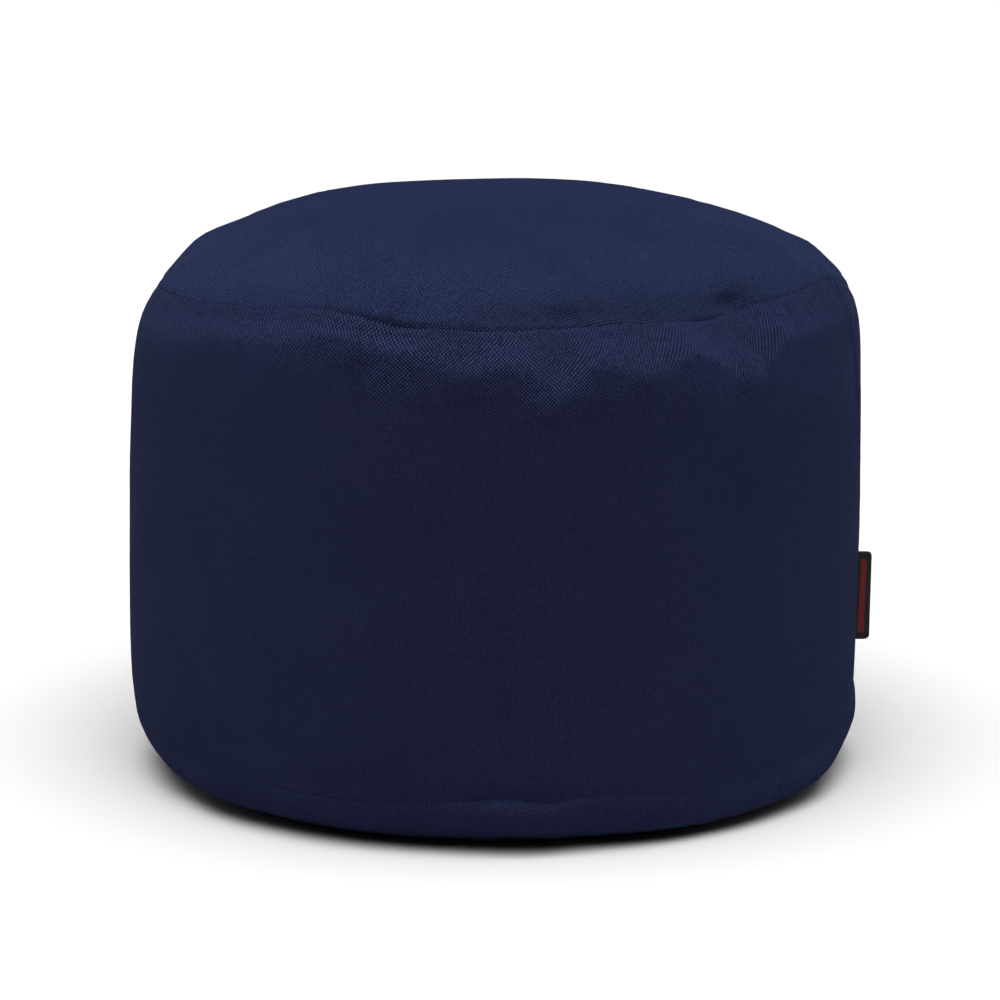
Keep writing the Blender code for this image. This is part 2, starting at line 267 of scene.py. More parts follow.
# Folds at a seam, in millimetres: reach is the middle's distance above the seam, length and width are
# half sizes, depth is out (+) or in (-), and turn leans the fold's length from upright towards +azimuth
Fold = namedtuple("Fold", "azimuth reach length width depth turn")
TOP_FOLDS = (
    Fold(-96, 38, 18, 48, 6.8, 0),
    Fold(-89, 7, 9, 15, -4.0, 0),
    Fold(-54, -30, 18, 20, 0.6, 0),
    Fold(-33, -26, 16, 14, 1.2, 0),
    Fold(-17, -5, 6, 22, -3.2, 0),
    Fold(-13, 20, 19, 7, -3.2, 38),
    Fold(-5, -32, 16, 16, 1.4, 0),
    Fold(9, -44, 12, 12, 3.8, 0),
    Fold(11, 6, 8, 15, -3.6, 0),
    Fold(22.5, -33, 11, 11, 3.8, 0),
    Fold(25, 2, 5, 9, -1.4, 0),
    Fold(43, 7, 9, 18, -3.8, 0),
    Fold(44, 3, 7, 13, -2.6, 25),
    Fold(41.5, -38, 11, 11, 6.0, 0),
    Fold(90, 32, 14, 44, 3.5, 0),
    Fold(98, 9, 11, 14, -3.0, 0),
    Fold(101, -30, 24, 16, 2.6, 0),
    Fold(122, -4, 6, 18, -2.8, 0),
    Fold(131, -32, 24, 16, 2.6, 0),
    Fold(150, 11, 14, 15, -3.6, -20),
    Fold(159, -30, 22, 15, 2.6, 0),
    Fold(177, -3, 6, 15, -2.6, 0),
    Fold(187, -34, 26, 17, 3.0, 0),
    Fold(206, 9, 10, 14, -3.2, 0),
    Fold(214, -28, 22, 15, 2.6, 0),
    Fold(237, -4, 7, 19, -3.0, 0),
    Fold(247, -32, 24, 16, 2.4, 0),
)
BASE_FOLDS = (
    Fold(-52, -18, 13, 60, 4.0, 0),
    Fold(-58, -4, 14, 12, -1.5, -20),
    Fold(3, -15, 9, 48, 3.2, 0),
    Fold(4, -8, 6, 32, 3.2, 0),
    Fold(5, 2, 4, 24, -1.2, 0),
    Fold(22, -20, 12, 45, 3.0, 0),
    Fold(40, -20, 13, 62, 6.0, 0),
    Fold(50, -2, 14, 6, -0.8, 35),
    Fold(61, -18, 14, 50, 7.0, 0),
    Fold(86, -3, 12, 52, 1.4, 0),
    Fold(86, 24, 16, 52, -1.0, 0),
    Fold(100, -14, 10, 34, 2.0, 0),
    Fold(121, -4, 15, 10, -2.6, -20),
    Fold(168, -14, 10, 44, 2.4, 0),
    Fold(212, -3, 15, 10, -2.6, 20),
    Fold(256, -14, 10, 42, 2.0, 0),
)


PUCKERS_END = 178.0
PUCKER_TURNS = (-14, 14)


def small_folds(seed, radius, steps, reaches, lengths, widths, depths):
    """Small puckers at uneven steps all round a seam, where its thread has drawn the cloth up."""
    draw = random.Random(seed)
    folds = []
    azimuth = -180.0
    while azimuth < PUCKERS_END:
        azimuth += math.degrees(draw.uniform(*steps) * MM / radius)
        reach, length, width = (draw.uniform(*span) for span in (reaches, lengths, widths))
        folds.append(Fold(azimuth, reach, length, width, draw.uniform(*depths), draw.uniform(*PUCKER_TURNS)))
    return tuple(folds)


TOP_PUCKERS = small_folds(11, TOP_SEAM_RADIUS, (12, 30), (-9, -4), (7, 15), (3.5, 6.5), (-0.8, 0.5))
TOP_PUCKERS += small_folds(12, TOP_SEAM_RADIUS, (12, 28), (4, 8), (6, 13), (3.0, 6.0), (-0.7, 0.4))
BASE_PUCKERS = small_folds(13, FULL_RADIUS, (13, 30), (-4, 5), (7, 15), (4.0, 7.0), (-0.6, 0.4))

# The upright seam that closes the strip slants backwards on its way down. The columns of faces beside it
# slant with it and close up to it, and the few nearest on each side stand out as its lips.
SIDE_SEAM_TOP = 70.5
SIDE_SEAM_FOOT = 97.5
SIDE_SEAM_MIDDLE = (SIDE_SEAM_TOP + SIDE_SEAM_FOOT) / 2.0
SIDE_SEAM_DEPTH = 0.9 * MM
SIDE_SEAM_LIP = 0.5 * MM
SIDE_SEAM_LIP_COLUMNS = 3
SEAM_SPREAD = 55.0  # reach of the slant, in degrees
SEAM_PINCH = 0.55
PINCH_REACH = 4.0  # in degrees


def turn_from(start, azimuth):
    """The signed turn in degrees from one azimuth to another, the short way round."""
    return (azimuth - start + 180.0) % 360.0 - 180.0


def between(rows, at):
    """The second column's value at each place along the first, easing from row to row."""
    table = np.array(rows)
    row = np.clip(np.searchsorted(table[:, 0], at, side="right") - 1, 0, len(table) - 2)
    share = np.clip((at - table[row, 0]) / (table[row + 1, 0] - table[row, 0]), 0.0, 1.0)
    share = share * share * (3.0 - 2.0 * share)
    return table[row, 1] + share * (table[row + 1, 1] - table[row, 1])


def rise_at(rows, azimuth):
    """The value in metres at each azimuth, round a table that closes on itself."""
    first = rows[0]
    turned = first.azimuth + (azimuth - first.azimuth) % 360.0
    return between(rows + (Rise(first.azimuth + 360.0, first.rise),), turned) * MM


def seam_azimuth(height):
    """Azimuth of the side seam at a height."""
    share = (height - BASE_SEAM_HEIGHT) / (TOP_SEAM_HEIGHT - BASE_SEAM_HEIGHT)
    return SIDE_SEAM_FOOT + np.clip(share, 0.0, 1.0) * (SIDE_SEAM_TOP - SIDE_SEAM_FOOT)


def wall_radius(height):
    """Radius of the side and bottom edge, before folds."""
    if height < CORNER_HEIGHT:
        corner = 1.0 - (1.0 - height / CORNER_HEIGHT) ** CORNER_POWER
        return PATCH_RADIUS + (wall_radius(CORNER_HEIGHT) - PATCH_RADIUS) * math.sqrt(corner)
    if height < FULL_HEIGHT:
        return FULL_RADIUS
    share = (height - FULL_HEIGHT) / (TOP_SEAM_HEIGHT - FULL_HEIGHT)
    shoulder_drop = FULL_RADIUS - TOP_SEAM_RADIUS - BARREL_DROP
    return FULL_RADIUS - BARREL_DROP * share**2 - shoulder_drop * share**SHOULDER_POWER


def crown_height(radius):
    """Height of the crown at a distance from the middle, before folds."""
    dome = (1.0 - (radius / TOP_SEAM_RADIUS) ** CROWN_POWER) ** CROWN_FULLNESS
    return TOP_SEAM_HEIGHT + (CROWN_HEIGHT - TOP_SEAM_HEIGHT) * dome


def side_outline():
    """Points from the rim of the flat patch up to the top seam."""
    heights = [row * MM for row in CORNER_ROWS] + [BASE_SEAM_HEIGHT]
    heights += [TOP_SEAM_HEIGHT - row * MM for row in reversed(WALL_ROWS)] + [TOP_SEAM_HEIGHT]
    return [Vector((wall_radius(height), 0.0, height)) for height in heights]


def crown_outline():
    """Points from the top seam to the middle of the crown."""
    radii = [TOP_SEAM_RADIUS] + [TOP_SEAM_RADIUS - row * MM for row in CROWN_ROWS] + [0.0]
    return [Vector((radius, 0.0, crown_height(radius))) for radius in radii]


def running_length(points):
    """Distance along a line of points from its first point to each of them."""
    steps = [(high - low).length for low, high in zip(points, points[1:])]
    return np.concatenate(([0.0], np.cumsum(steps)))


PANEL, CROWN, BASE = range(3)  # regions of the outside, kept as its faces' material index


def region_of(face):
    height = face.calc_center_median().z
    if height > TOP_SEAM_HEIGHT:
        return CROWN
    return BASE if height < BASE_SEAM_HEIGHT else PANEL


def lay_flat(skin):
    """Writes each piece's flat cut into the UV map, in metres, while the outside is still plainly turned."""
    side, crown = side_outline(), crown_outline()
    side_run, crown_run = running_length(side), running_length(crown)
    side_heights = [point.z for point in side]
    crown_radii = [point.x for point in reversed(crown)]
    crown_out = (crown_run[-1] - crown_run)[::-1]
    cut = skin.loops.layers.uv.new("cut")
    seam = math.radians(SIDE_SEAM_MIDDLE)
    for face in skin.faces:
        middle = face.calc_center_median()
        facing = math.atan2(middle.x, -middle.y)
        for loop in face.loops:
            x, y, z = loop.vert.co
            radius = math.hypot(x, y)
            turn = math.atan2(x, -y) - facing if radius > 1e-6 else 0.0
            azimuth = facing + (turn + math.pi) % math.tau - math.pi
            if face.material_index == PANEL:
                past_seam = (facing - seam) % math.tau + azimuth - facing
                loop[cut].uv = (past_seam * FULL_RADIUS, np.interp(z, side_heights, side_run))
                continue
            if face.material_index == CROWN:
                out = np.interp(radius, crown_radii, crown_out)
            else:
                out = radius if z < 1e-6 else PATCH_RADIUS + np.interp(z, side_heights, side_run)
            loop[cut].uv = (out * math.sin(azimuth), -out * math.cos(azimuth))


def slanted(azimuth, height):
    """Azimuths of the columns once those near the side seam slant and close up to it."""
    off = turn_from(SIDE_SEAM_MIDDLE, azimuth)
    slant = (seam_azimuth(height) - SIDE_SEAM_MIDDLE) * np.exp(-((off / SEAM_SPREAD) ** 2))
    pinch = 1.0 - SEAM_PINCH * np.exp(-((off / PINCH_REACH) ** 2))
    return SIDE_SEAM_MIDDLE + off * pinch + slant


def fold_depth(folds, azimuth, reach, radius):
    """Sum of the folds at each place, in metres."""
    total = np.zeros(len(azimuth))
    for fold in folds:
        size = 3.0 * max(fold.width, fold.length)
        upward = reach / MM - fold.reach
        sideways = radius * np.radians(turn_from(fold.azimuth, azimuth)) / MM
        near = np.nonzero((np.abs(upward) < size) & (np.abs(sideways) < size))[0]
        turn = math.radians(fold.turn)
        across = sideways[near] * math.cos(turn) - upward[near] * math.sin(turn)
        along = sideways[near] * math.sin(turn) + upward[near] * math.cos(turn)
        total[near] += fold.depth * np.exp(-((across / fold.width) ** 2) - (along / fold.length) ** 2)
    return total * MM


def shoulder_move(azimuth, radius, height):
    """How far out the uneven shoulder under the top seam, and the seam's draw, move each point."""
    turned_in = FULL_RADIUS - TOP_SEAM_RADIUS - BARREL_DROP
    drawn_in = rise_at(DRAWN_IN, azimuth)
    depth = TOP_SEAM_HEIGHT - height
    left = 1.0 - depth / rise_at(SHOULDERS, azimuth)
    uneven = 0.5 * (left + np.sqrt(left**2 + SHOULDER_EASE))
    share = np.clip(1.0 - depth / (TOP_SEAM_HEIGHT - FULL_HEIGHT), 0.0, 1.0)
    side_move = share**SHOULDER_POWER * turned_in - uneven * (turned_in + drawn_in)
    over = np.hypot(TOP_SEAM_RADIUS - radius, depth)
    crown_move = -drawn_in * np.exp(-((over / DRAWN_REACH) ** 2))
    # The shoulder keeps its even turn at the far left and right
    away_from_sides = 1.0 - np.sin(np.radians(azimuth)) ** 8
    return np.where(depth >= 0.0, side_move, crown_move) * away_from_sides


def outward_move(azimuth, radius, height):
    """How far the folds and the seams move each point of the turned outside outwards."""
    over = np.hypot(TOP_SEAM_RADIUS - radius, height - TOP_SEAM_HEIGHT)
    above_top = np.where(height > TOP_SEAM_HEIGHT, over, height - TOP_SEAM_HEIGHT)
    above_base = height - BASE_SEAM_HEIGHT
    move = between(TOP_SEAM_RELIEF, above_top / MM) * rise_at(SEAM_PULLS, azimuth)
    move += between(STITCH_RELIEF, above_top / MM) * rise_at(STITCH_PULLS, azimuth)
    move += between(BASE_SEAM_RELIEF, above_base / MM) * rise_at(BASE_SEAM_PULLS, azimuth)
    move += fold_depth(TOP_FOLDS + TOP_PUCKERS, azimuth, above_top, radius)
    move += fold_depth(BASE_FOLDS + BASE_PUCKERS, azimuth, above_base, radius)
    return move


def shape_points(turned):
    """Places of the turned outside's points, and how far each then moves outwards."""
    radius = np.hypot(turned[:, 0], turned[:, 1])
    height = turned[:, 2]
    azimuth = np.degrees(np.arctan2(turned[:, 0], -turned[:, 1]))
    columns_off = np.abs(turn_from(SIDE_SEAM_MIDDLE, azimuth)) * COLUMNS / 360.0
    on_panel = (height > BASE_SEAM_HEIGHT) & (height < TOP_SEAM_HEIGHT)
    azimuth = slanted(azimuth, height)
    move = outward_move(azimuth, radius, height)
    move += on_panel * np.where(columns_off < 0.5, -SIDE_SEAM_DEPTH, 0.0)
    on_lips = (columns_off > 0.5) & (columns_off < SIDE_SEAM_LIP_COLUMNS + 0.5)
    move += on_panel * np.where(on_lips, SIDE_SEAM_LIP, 0.0)
    top_share = np.where(
        height > TOP_SEAM_HEIGHT, (radius / TOP_SEAM_RADIUS) ** 2, (height / TOP_SEAM_HEIGHT) ** 3
    )
    base_share = np.clip(1.0 - np.abs(height - BASE_SEAM_HEIGHT) / BASE_SEAM_HEIGHT, 0.0, 1.0)
    rise = top_share * (rise_at(TOP_SEAM_RISES, azimuth) - DROP_WITH_DRAW * rise_at(DRAWN_IN, azimuth))
    rise += base_share * rise_at(BASE_SEAM_RISES, azimuth)
    radius = radius + shoulder_move(azimuth, radius, height)
    turn = np.radians(azimuth)
    shift = between(LEANS, height)
    places = np.stack((radius * np.sin(turn) + shift, -radius * np.cos(turn), height + rise), axis=1)
    return places, np.where(height > 0.0, move, 0.0)


def make_outside():
    """The closed outside of the pouf, with each face marked by its region."""
    skin = bmesh.new()
    outline = side_outline() + crown_outline()[1:]
    verts = [skin.verts.new(point) for point in outline]
    edges = [skin.edges.new(pair) for pair in zip(verts, verts[1:])]
    bmesh.ops.spin(
        skin,
        geom=verts + edges,
        axis=(0.0, 0.0, 1.0),
        cent=(0.0, 0.0, 0.0),
        steps=COLUMNS,
        angle=math.tau,
        use_merge=True,
    )
    bmesh.ops.remove_doubles(skin, verts=skin.verts[:], dist=MERGE_WITHIN)
    rim = [edge for edge in skin.edges if edge.is_boundary]
    patch = bmesh.ops.holes_fill(skin, edges=rim, sides=0)["faces"]
    for width in PATCH_RINGS:
        bmesh.ops.inset_region(skin, faces=patch, thickness=width, use_even_offset=True)
    bmesh.ops.poke(skin, faces=patch)
    bmesh.ops.recalc_face_normals(skin, faces=skin.faces[:])
    for face in skin.faces:
        face.material_index = region_of(face)
    lay_flat(skin)
    places, moves = shape_points(np.array([vert.co for vert in skin.verts]))
    for vert, place in zip(skin.verts, places):
        vert.co = place
    skin.normal_update()
    for vert, move in zip(skin.verts, moves):
        vert.co += vert.normal * move
        vert.co.z = max(vert.co.z, 0.0)
    return skin


VOXEL = 6 * MM
START_IN = 2.8 * MM  # the cloth starts this far in, since the filling swells it
MOST_MOVE = 3.0 * MM
HELD_REACH = 5 * MM  # cloth this near a seam is held by it
PATCH_HELD = 1.5 * MM  # and so is cloth this near the floor
SEAM_EASE = 24 * MM  # distance over which the movement fades in beside a seam
SIM_FRAMES = 20


def settle(skin):
    """Lets the filling press the cloth out between its seams: a cloth simulation on an even copy, whose
    capped movement is then carried over to the skin."""
    scene = bpy.context.scene
    even = bpy.data.objects.new("even", bpy.data.meshes.new("even"))
    skin.to_mesh(even.data)
    scene.collection.objects.link(even)
    remesh = even.modifiers.new("even", "REMESH")
    remesh.mode = "VOXEL"
    remesh.voxel_size = VOXEL
    shape = bpy.data.meshes.new_from_object(even.evaluated_get(bpy.context.evaluated_depsgraph_get()))
    even.modifiers.clear()
    even.data = shape
    start = np.empty(len(shape.vertices) * 3)
    shape.vertices.foreach_get("co", start)
    start = start.reshape(-1, 3)
    normals = np.array([vert.normal for vert in shape.vertices])
    azimuth = np.degrees(np.arctan2(start[:, 0], -start[:, 1]))
    off_top = start[:, 2] - TOP_SEAM_HEIGHT - rise_at(TOP_SEAM_RISES, azimuth)
    off_base = start[:, 2] - BASE_SEAM_HEIGHT - rise_at(BASE_SEAM_RISES, azimuth)
    held = (np.abs(off_top) < HELD_REACH) | (np.abs(off_base) < HELD_REACH) | (start[:, 2] < PATCH_HELD)
    group = even.vertex_groups.new(name="held")
    group.add(np.nonzero(held)[0].tolist(), 1.0, "REPLACE")
    tucked = start - np.where(held, 0.0, START_IN)[:, None] * normals
    shape.vertices.foreach_set("co", tucked.ravel())
    shape.update()
    cloth = even.modifiers.new("cloth", "CLOTH")
    cloth.settings.quality = 6
    cloth.settings.vertex_group_mass = "held"
    cloth.settings.use_pressure = True
    cloth.settings.uniform_pressure_force = 4.0
    cloth.settings.shrink_min = -0.012
    cloth.settings.bending_stiffness = 0.3
    cloth.settings.effector_weights.gravity = 0.0
    cloth.collision_settings.use_collision = False
    cloth.point_cache.frame_start = 1
    cloth.point_cache.frame_end = SIM_FRAMES
    for step in range(1, SIM_FRAMES + 1):
        scene.frame_set(step)
    pressed = even.evaluated_get(bpy.context.evaluated_depsgraph_get()).data
    ended = np.empty(len(pressed.vertices) * 3)
    pressed.vertices.foreach_get("co", ended)
    moves = ended.reshape(-1, 3) - start
    length = np.maximum(np.linalg.norm(moves, axis=1), 1e-9)
    off_seam = np.minimum(np.abs(off_top), np.abs(off_base))
    kept = 1.0 - np.exp(-((off_seam / SEAM_EASE) ** 2))
    moves *= (kept * MOST_MOVE * np.tanh(length / MOST_MOVE) / length)[:, None]
    corners = [tuple(face.vertices) for face in shape.polygons]
    places = [Vector(place) for place in start]
    tree = BVHTree.FromPolygons(places, corners)
    carried = []
    for vert in skin.verts:
        near, _, index, _ = tree.find_nearest(vert.co)
        face = corners[index]
        shares = poly_3d_calc([places[corner] for corner in face], near)
        carried.append(sum((Vector(moves[corner]) * share for corner, share in zip(face, shares)), Vector()))
    for vert, move in zip(skin.verts, carried):
        vert.co += move
        vert.co.z = max(vert.co.z, 0.0)
    scene.frame_set(1)
    bpy.data.objects.remove(even)
    skin.normal_update()


CLOTH_THICKNESS = 1.6 * MM
SEAM_GAP = 0.06 * MM


def filled_panel(skin):
    """The side strip round its filling, sunk under the top round and the base round."""
    body = skin.copy()
    for region in (CROWN, BASE):
        faces = [face for face in body.faces if face.material_index == region]
        bmesh.ops.inset_region(
            body, faces=faces, thickness=SEAM_GAP, depth=-(CLOTH_THICKNESS + SEAM_GAP), use_even_offset=True
        )
    return body


def tree_maker(tree):
    """Two short ways to add to a shader tree: node() for any node, and sums() for a Math node."""

    def fill(socket, value):
        if isinstance(value, bpy.types.NodeSocket):
            tree.links.new(value, socket)
        else:
            socket.default_value = value

    def node(kind, settings=(), **inputs):
        made = tree.nodes.new(kind)
        for name, value in dict(settings).items():
            setattr(made, name, value)
        for name, value in inputs.items():
            fill(made.inputs[name.replace("_", " ")], value)
        return made

    def sums(operation, *values, clamp=False):
        made = tree.nodes.new("ShaderNodeMath")
        made.operation = operation
        made.use_clamp = clamp
        for socket, value in zip(made.inputs, values):
            fill(socket, value)
        return made.outputs[0]

    return node, sums


WEAVE_SQUARE = 1.37 * MM
YARN_DRIFT = 8 * MM
SLUBS_PER_METRE = (900.0, 190.0)


def basket_weave():
    """Shader group of the weave: pairs of yarns pass over and under each other in little squares."""
    tree = bpy.data.node_groups.new("Basket weave", "ShaderNodeTree")
    face = tree.interface
    face.new_socket("Flat place", in_out="INPUT", socket_type="NodeSocketVector")
    face.new_socket("Square size", in_out="INPUT", socket_type="NodeSocketFloat").default_value = WEAVE_SQUARE
    for name in ("Height", "Yarn shade", "Cross yarn"):
        face.new_socket(name, in_out="OUTPUT", socket_type="NodeSocketFloat")
    node, sums = tree_maker(tree)
    given, result = tree.nodes.new("NodeGroupInput"), tree.nodes.new("NodeGroupOutput")
    place, square = given.outputs["Flat place"], given.outputs["Square size"]

    # The yarns don't run quite straight
    drift = node("ShaderNodeTexNoise", Vector=place, Scale=16.0, Detail=2.0, Roughness=0.35)
    moved = node("ShaderNodeVectorMath", {"operation": "MULTIPLY_ADD"})
    tree.links.new(drift.outputs["Color"], moved.inputs[0])
    moved.inputs[1].default_value = (YARN_DRIFT, YARN_DRIFT, 0.0)
    tree.links.new(place, moved.inputs[2])
    split = node("ShaderNodeSeparateXYZ", Vector=moved.outputs[0])
    u = sums("DIVIDE", split.outputs["X"], square)
    v = sums("DIVIDE", split.outputs["Y"], square)

    def either(first, second, share):
        return sums("ADD", first, sums("MULTIPLY", sums("SUBTRACT", second, first), share))

    # The squares alternate, and in each one the two yarns on top are rounded and dip at both ends
    cross = sums("FLOORED_MODULO", sums("ADD", sums("FLOOR", u), sums("FLOOR", v)), 2.0)
    across = sums("FRACT", sums("MULTIPLY", either(u, v, cross), 2.0))
    along = sums("FRACT", either(v, u, cross))
    barrel = sums("POWER", sums("SINE", sums("MULTIPLY", across, math.pi)), 0.6)
    float_lift = sums("MULTIPLY_ADD", sums("SINE", sums("MULTIPLY", along, math.pi)), 0.72, 0.28)
    height = sums("MULTIPLY", barrel, float_lift)
    # Each square takes its own shade, and thicker lengths of yarn show as streaks
    cell = node("ShaderNodeCombineXYZ", X=sums("FLOOR", u), Y=sums("FLOOR", v))
    tone = node("ShaderNodeTexWhiteNoise", {"noise_dimensions": "2D"}, Vector=cell.outputs["Vector"])
    drawn = node("ShaderNodeVectorMath", {"operation": "MULTIPLY"})
    tree.links.new(place, drawn.inputs[0])
    drawn.inputs[1].default_value = (*SLUBS_PER_METRE, 0.0)
    slub = node("ShaderNodeTexNoise", Vector=drawn.outputs[0], Scale=1.0, Detail=2.0, Roughness=0.6)
    fleck = sums("MULTIPLY_ADD", slub.outputs["Fac"], 2.4, -0.7)
    shade = either(tone.outputs["Value"], fleck, 0.5)
    for name, value in (("Height", height), ("Yarn shade", shade), ("Cross yarn", cross)):
        tree.links.new(value, result.inputs[name])
    return tree


BASKET_WEAVE = basket_weave()
TIGHT_AND_SHADED = 0.19  # share of the weave's contrast, and of its painted light, that is left where it lies tight and in shade
OPENS_AND_LIGHTS_TO_TAB = 0.07  # how much sooner it opens, and takes painted light, for each metre towards the tab's side
OPENS_AND_LIGHTS_UNEVENLY = 0.08  # range in metres over which handling has shifted the place where it opens, and so the edge of the painted light
WEAVE_DEPTH = 0.5 * MM
SHEEN_BLUE = (0.25, 0.38, 1.0, 1.0)


def woven_cloth(name, shaded_hollow, yarn, lit_cross_yarn, grain, opens, tight_and_shaded_at, open_and_lit_at, openness_and_light):
    """Navy basket weave. hollow is its colour between the yarns, painted shade there; yarn and lit_cross_yarn
    those of their backs, a shaded and a lit copy of one yarn; and grain the turn of the yarns on the cut.
    The filling draws the weave open from tight_and_shaded_at to open_and_lit_at, which are heights if it
    opens upwards, and distances from the middle of a round if outwards. Over the same span the weave is
    painted lighter, with more contrast and glints, where the overhead light falls."""
    material = bpy.data.materials.new(name)
    material.use_nodes = True
    tree = material.node_tree
    node, sums = tree_maker(tree)
    shader = tree.nodes["Principled BSDF"]
    cut = node("ShaderNodeUVMap", {"uv_map": "cut"})
    turned = node("ShaderNodeMapping", Vector=cut.outputs["UV"], Rotation=(0.0, 0.0, math.radians(grain)))
    weave = node("ShaderNodeGroup", {"node_tree": BASKET_WEAVE}, Flat_place=turned.outputs["Vector"])
    height = weave.outputs["Height"]

    handled = node("ShaderNodeTexNoise", Vector=cut.outputs["UV"], Scale=19.0, Detail=3.0)
    place = node("ShaderNodeSeparateXYZ", Vector=node("ShaderNodeTexCoord").outputs["Object"])
    if opens == "upwards":
        along = place.outputs["Z"]
    else:
        squares = [sums("POWER", place.outputs[axis], 2.0) for axis in "XY"]
        along = sums("SQRT", sums("ADD", *squares))
    shifted = sums("MULTIPLY_ADD", handled.outputs["Fac"], OPENS_AND_LIGHTS_UNEVENLY, -OPENS_AND_LIGHTS_UNEVENLY / 2.0)
    uneven = sums("ADD", along, shifted)
    uneven = sums("MULTIPLY_ADD", place.outputs["X"], OPENS_AND_LIGHTS_TO_TAB, uneven)
    # Both the filling's pull and painted light: from tight_and_shaded_at to open_and_lit_at the weave is
    # drawn open, and over the same span it is painted lighter, with more contrast and glints, where the
    # overhead light falls on the shoulder of the side and the outer part of each round.
    open_and_lit = node("ShaderNodeMapRange", {"interpolation_type": "SMOOTHSTEP"}, Value=uneven)
    limits = {"From Min": tight_and_shaded_at, "From Max": open_and_lit_at, "To Min": TIGHT_AND_SHADED, "To Max": openness_and_light}
    for socket, value in limits.items():
        open_and_lit.inputs[socket].default_value = value

    # The two yarn colours are a shaded and a lit copy of one yarn: painted light on the squares whose yarns
    # catch the overhead light. They differ most where the weave is open and painted lit, and so do their
    # single squares, whose random shades there show as painted glints.
    backs = node("ShaderNodeMix", {"data_type": "RGBA"})
    backs.inputs[6].default_value = (*yarn, 1.0)
    backs.inputs[7].default_value = (*lit_cross_yarn, 1.0)
    over = sums("SUBTRACT", weave.outputs["Cross yarn"], 0.5)
    over = sums("MULTIPLY_ADD", over, open_and_lit.outputs["Result"], 0.5)
    tree.links.new(over, backs.inputs["Factor"])
    rubbed = sums("MULTIPLY_ADD", handled.outputs["Fac"], 0.4, 0.8)
    unlike = sums("MULTIPLY_ADD", open_and_lit.outputs["Result"], 0.9, 0.3)
    shade = sums("MULTIPLY_ADD", sums("SUBTRACT", weave.outputs["Yarn shade"], 0.5), unlike, 0.93)
    # Painted shade: the colour falls to the dark hollow colour where the weave's height is low, between the
    # yarns and at their ends, and rises to the yarns' backs on their crowns.
    showing_in_light = sums("MULTIPLY", height, shade)
    # Painted light: the weave is lighter where it is open and lit.
    showing_in_light = sums("MULTIPLY", showing_in_light, sums("MULTIPLY_ADD", open_and_lit.outputs["Result"], 0.42, 0.86))
    colour = node("ShaderNodeMix", {"data_type": "RGBA"})
    colour.inputs[6].default_value = (*shaded_hollow, 1.0)
    tree.links.new(sums("MULTIPLY", showing_in_light, rubbed, clamp=True), colour.inputs["Factor"])
    tree.links.new(backs.outputs[2], colour.inputs[7])
    tree.links.new(colour.outputs[2], shader.inputs["Base Color"])

    tree.links.new(sums("MULTIPLY_ADD", height, -0.12, 0.92), shader.inputs["Roughness"])
    bump = node("ShaderNodeBump", Height=height, Strength=1.0, Distance=WEAVE_DEPTH)
    tree.links.new(bump.outputs["Normal"], shader.inputs["Normal"])
    shader.inputs["Specular IOR Level"].default_value = 0.01
    shader.inputs["Sheen Weight"].default_value = 0.05
    shader.inputs["Sheen Roughness"].default_value = 0.4
    shader.inputs["Sheen Tint"].default_value = SHEEN_BLUE
    return material


CRISP = math.radians(50.0)


def add_piece(name, shape, material):
    """Turns a bmesh into an object of the pouf, at the origin, that rides on its body."""
    mesh = bpy.data.meshes.new(name)
    for face in shape.faces:
        face.material_index = 0  # its region's mark has served
    shape.to_mesh(mesh)
    shape.free()
    mesh.shade_smooth()
    mesh.set_sharp_from_angle(angle=CRISP)
    mesh.materials.append(material)
    piece = bpy.data.objects.new(name, mesh)
    bpy.context.scene.collection.objects.link(piece)
    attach(piece, "root")
    return piece


outside = make_outside()
settle(outside)

# The side and the two rounds are one cloth in lit and shaded copies. The side's is the darkest: painted shade
# on the upright side, which the overhead light reaches least.
side_cloth = woven_cloth(
    "side cloth",
    shaded_hollow=(0.0022, 0.0026, 0.0080),
    yarn=(0.0070, 0.0086, 0.024),
    lit_cross_yarn=(0.0385, 0.0468, 0.127),
    grain=0.0,
    opens="upwards",
    tight_and_shaded_at=0.285,
    open_and_lit_at=0.315,
    openness_and_light=0.85,
)
side_cover = add_piece("side_cover", filled_panel(outside), side_cloth)
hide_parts("side_panel")

# -------------------------------------------------------------------------------------------- stitches
# The rows of topstitching are polyester thread, each stitch a short bead half sunk in the cloth. One row
# holds the allowance down below the top seam, and one runs close above the base seam.

# Row of stitches, in millimetres: its height above the seam, one stitch, its pitch along the row, and
# the thickness of its thread
Row = namedtuple("Row", "name seam rises above stitch pitch thread radius")
ROWS = (
    Row("top_stitches", TOP_SEAM_HEIGHT, TOP_SEAM_RISES, -8.1, 2.5, 3.4, 0.5, TOP_SEAM_RADIUS + 5 * MM),
    Row("base_stitches", BASE_SEAM_HEIGHT, BASE_SEAM_RISES, 1.6, 2.0, 2.9, 0.5, 0.243),
)
STITCH_SINK = 0.12 * MM
BATCH = 20  # stitches made at a time
THREAD_DARK = (0.0075, 0.0095, 0.026, 1.0)
THREAD_LIGHT = (0.0160, 0.0200, 0.052, 1.0)


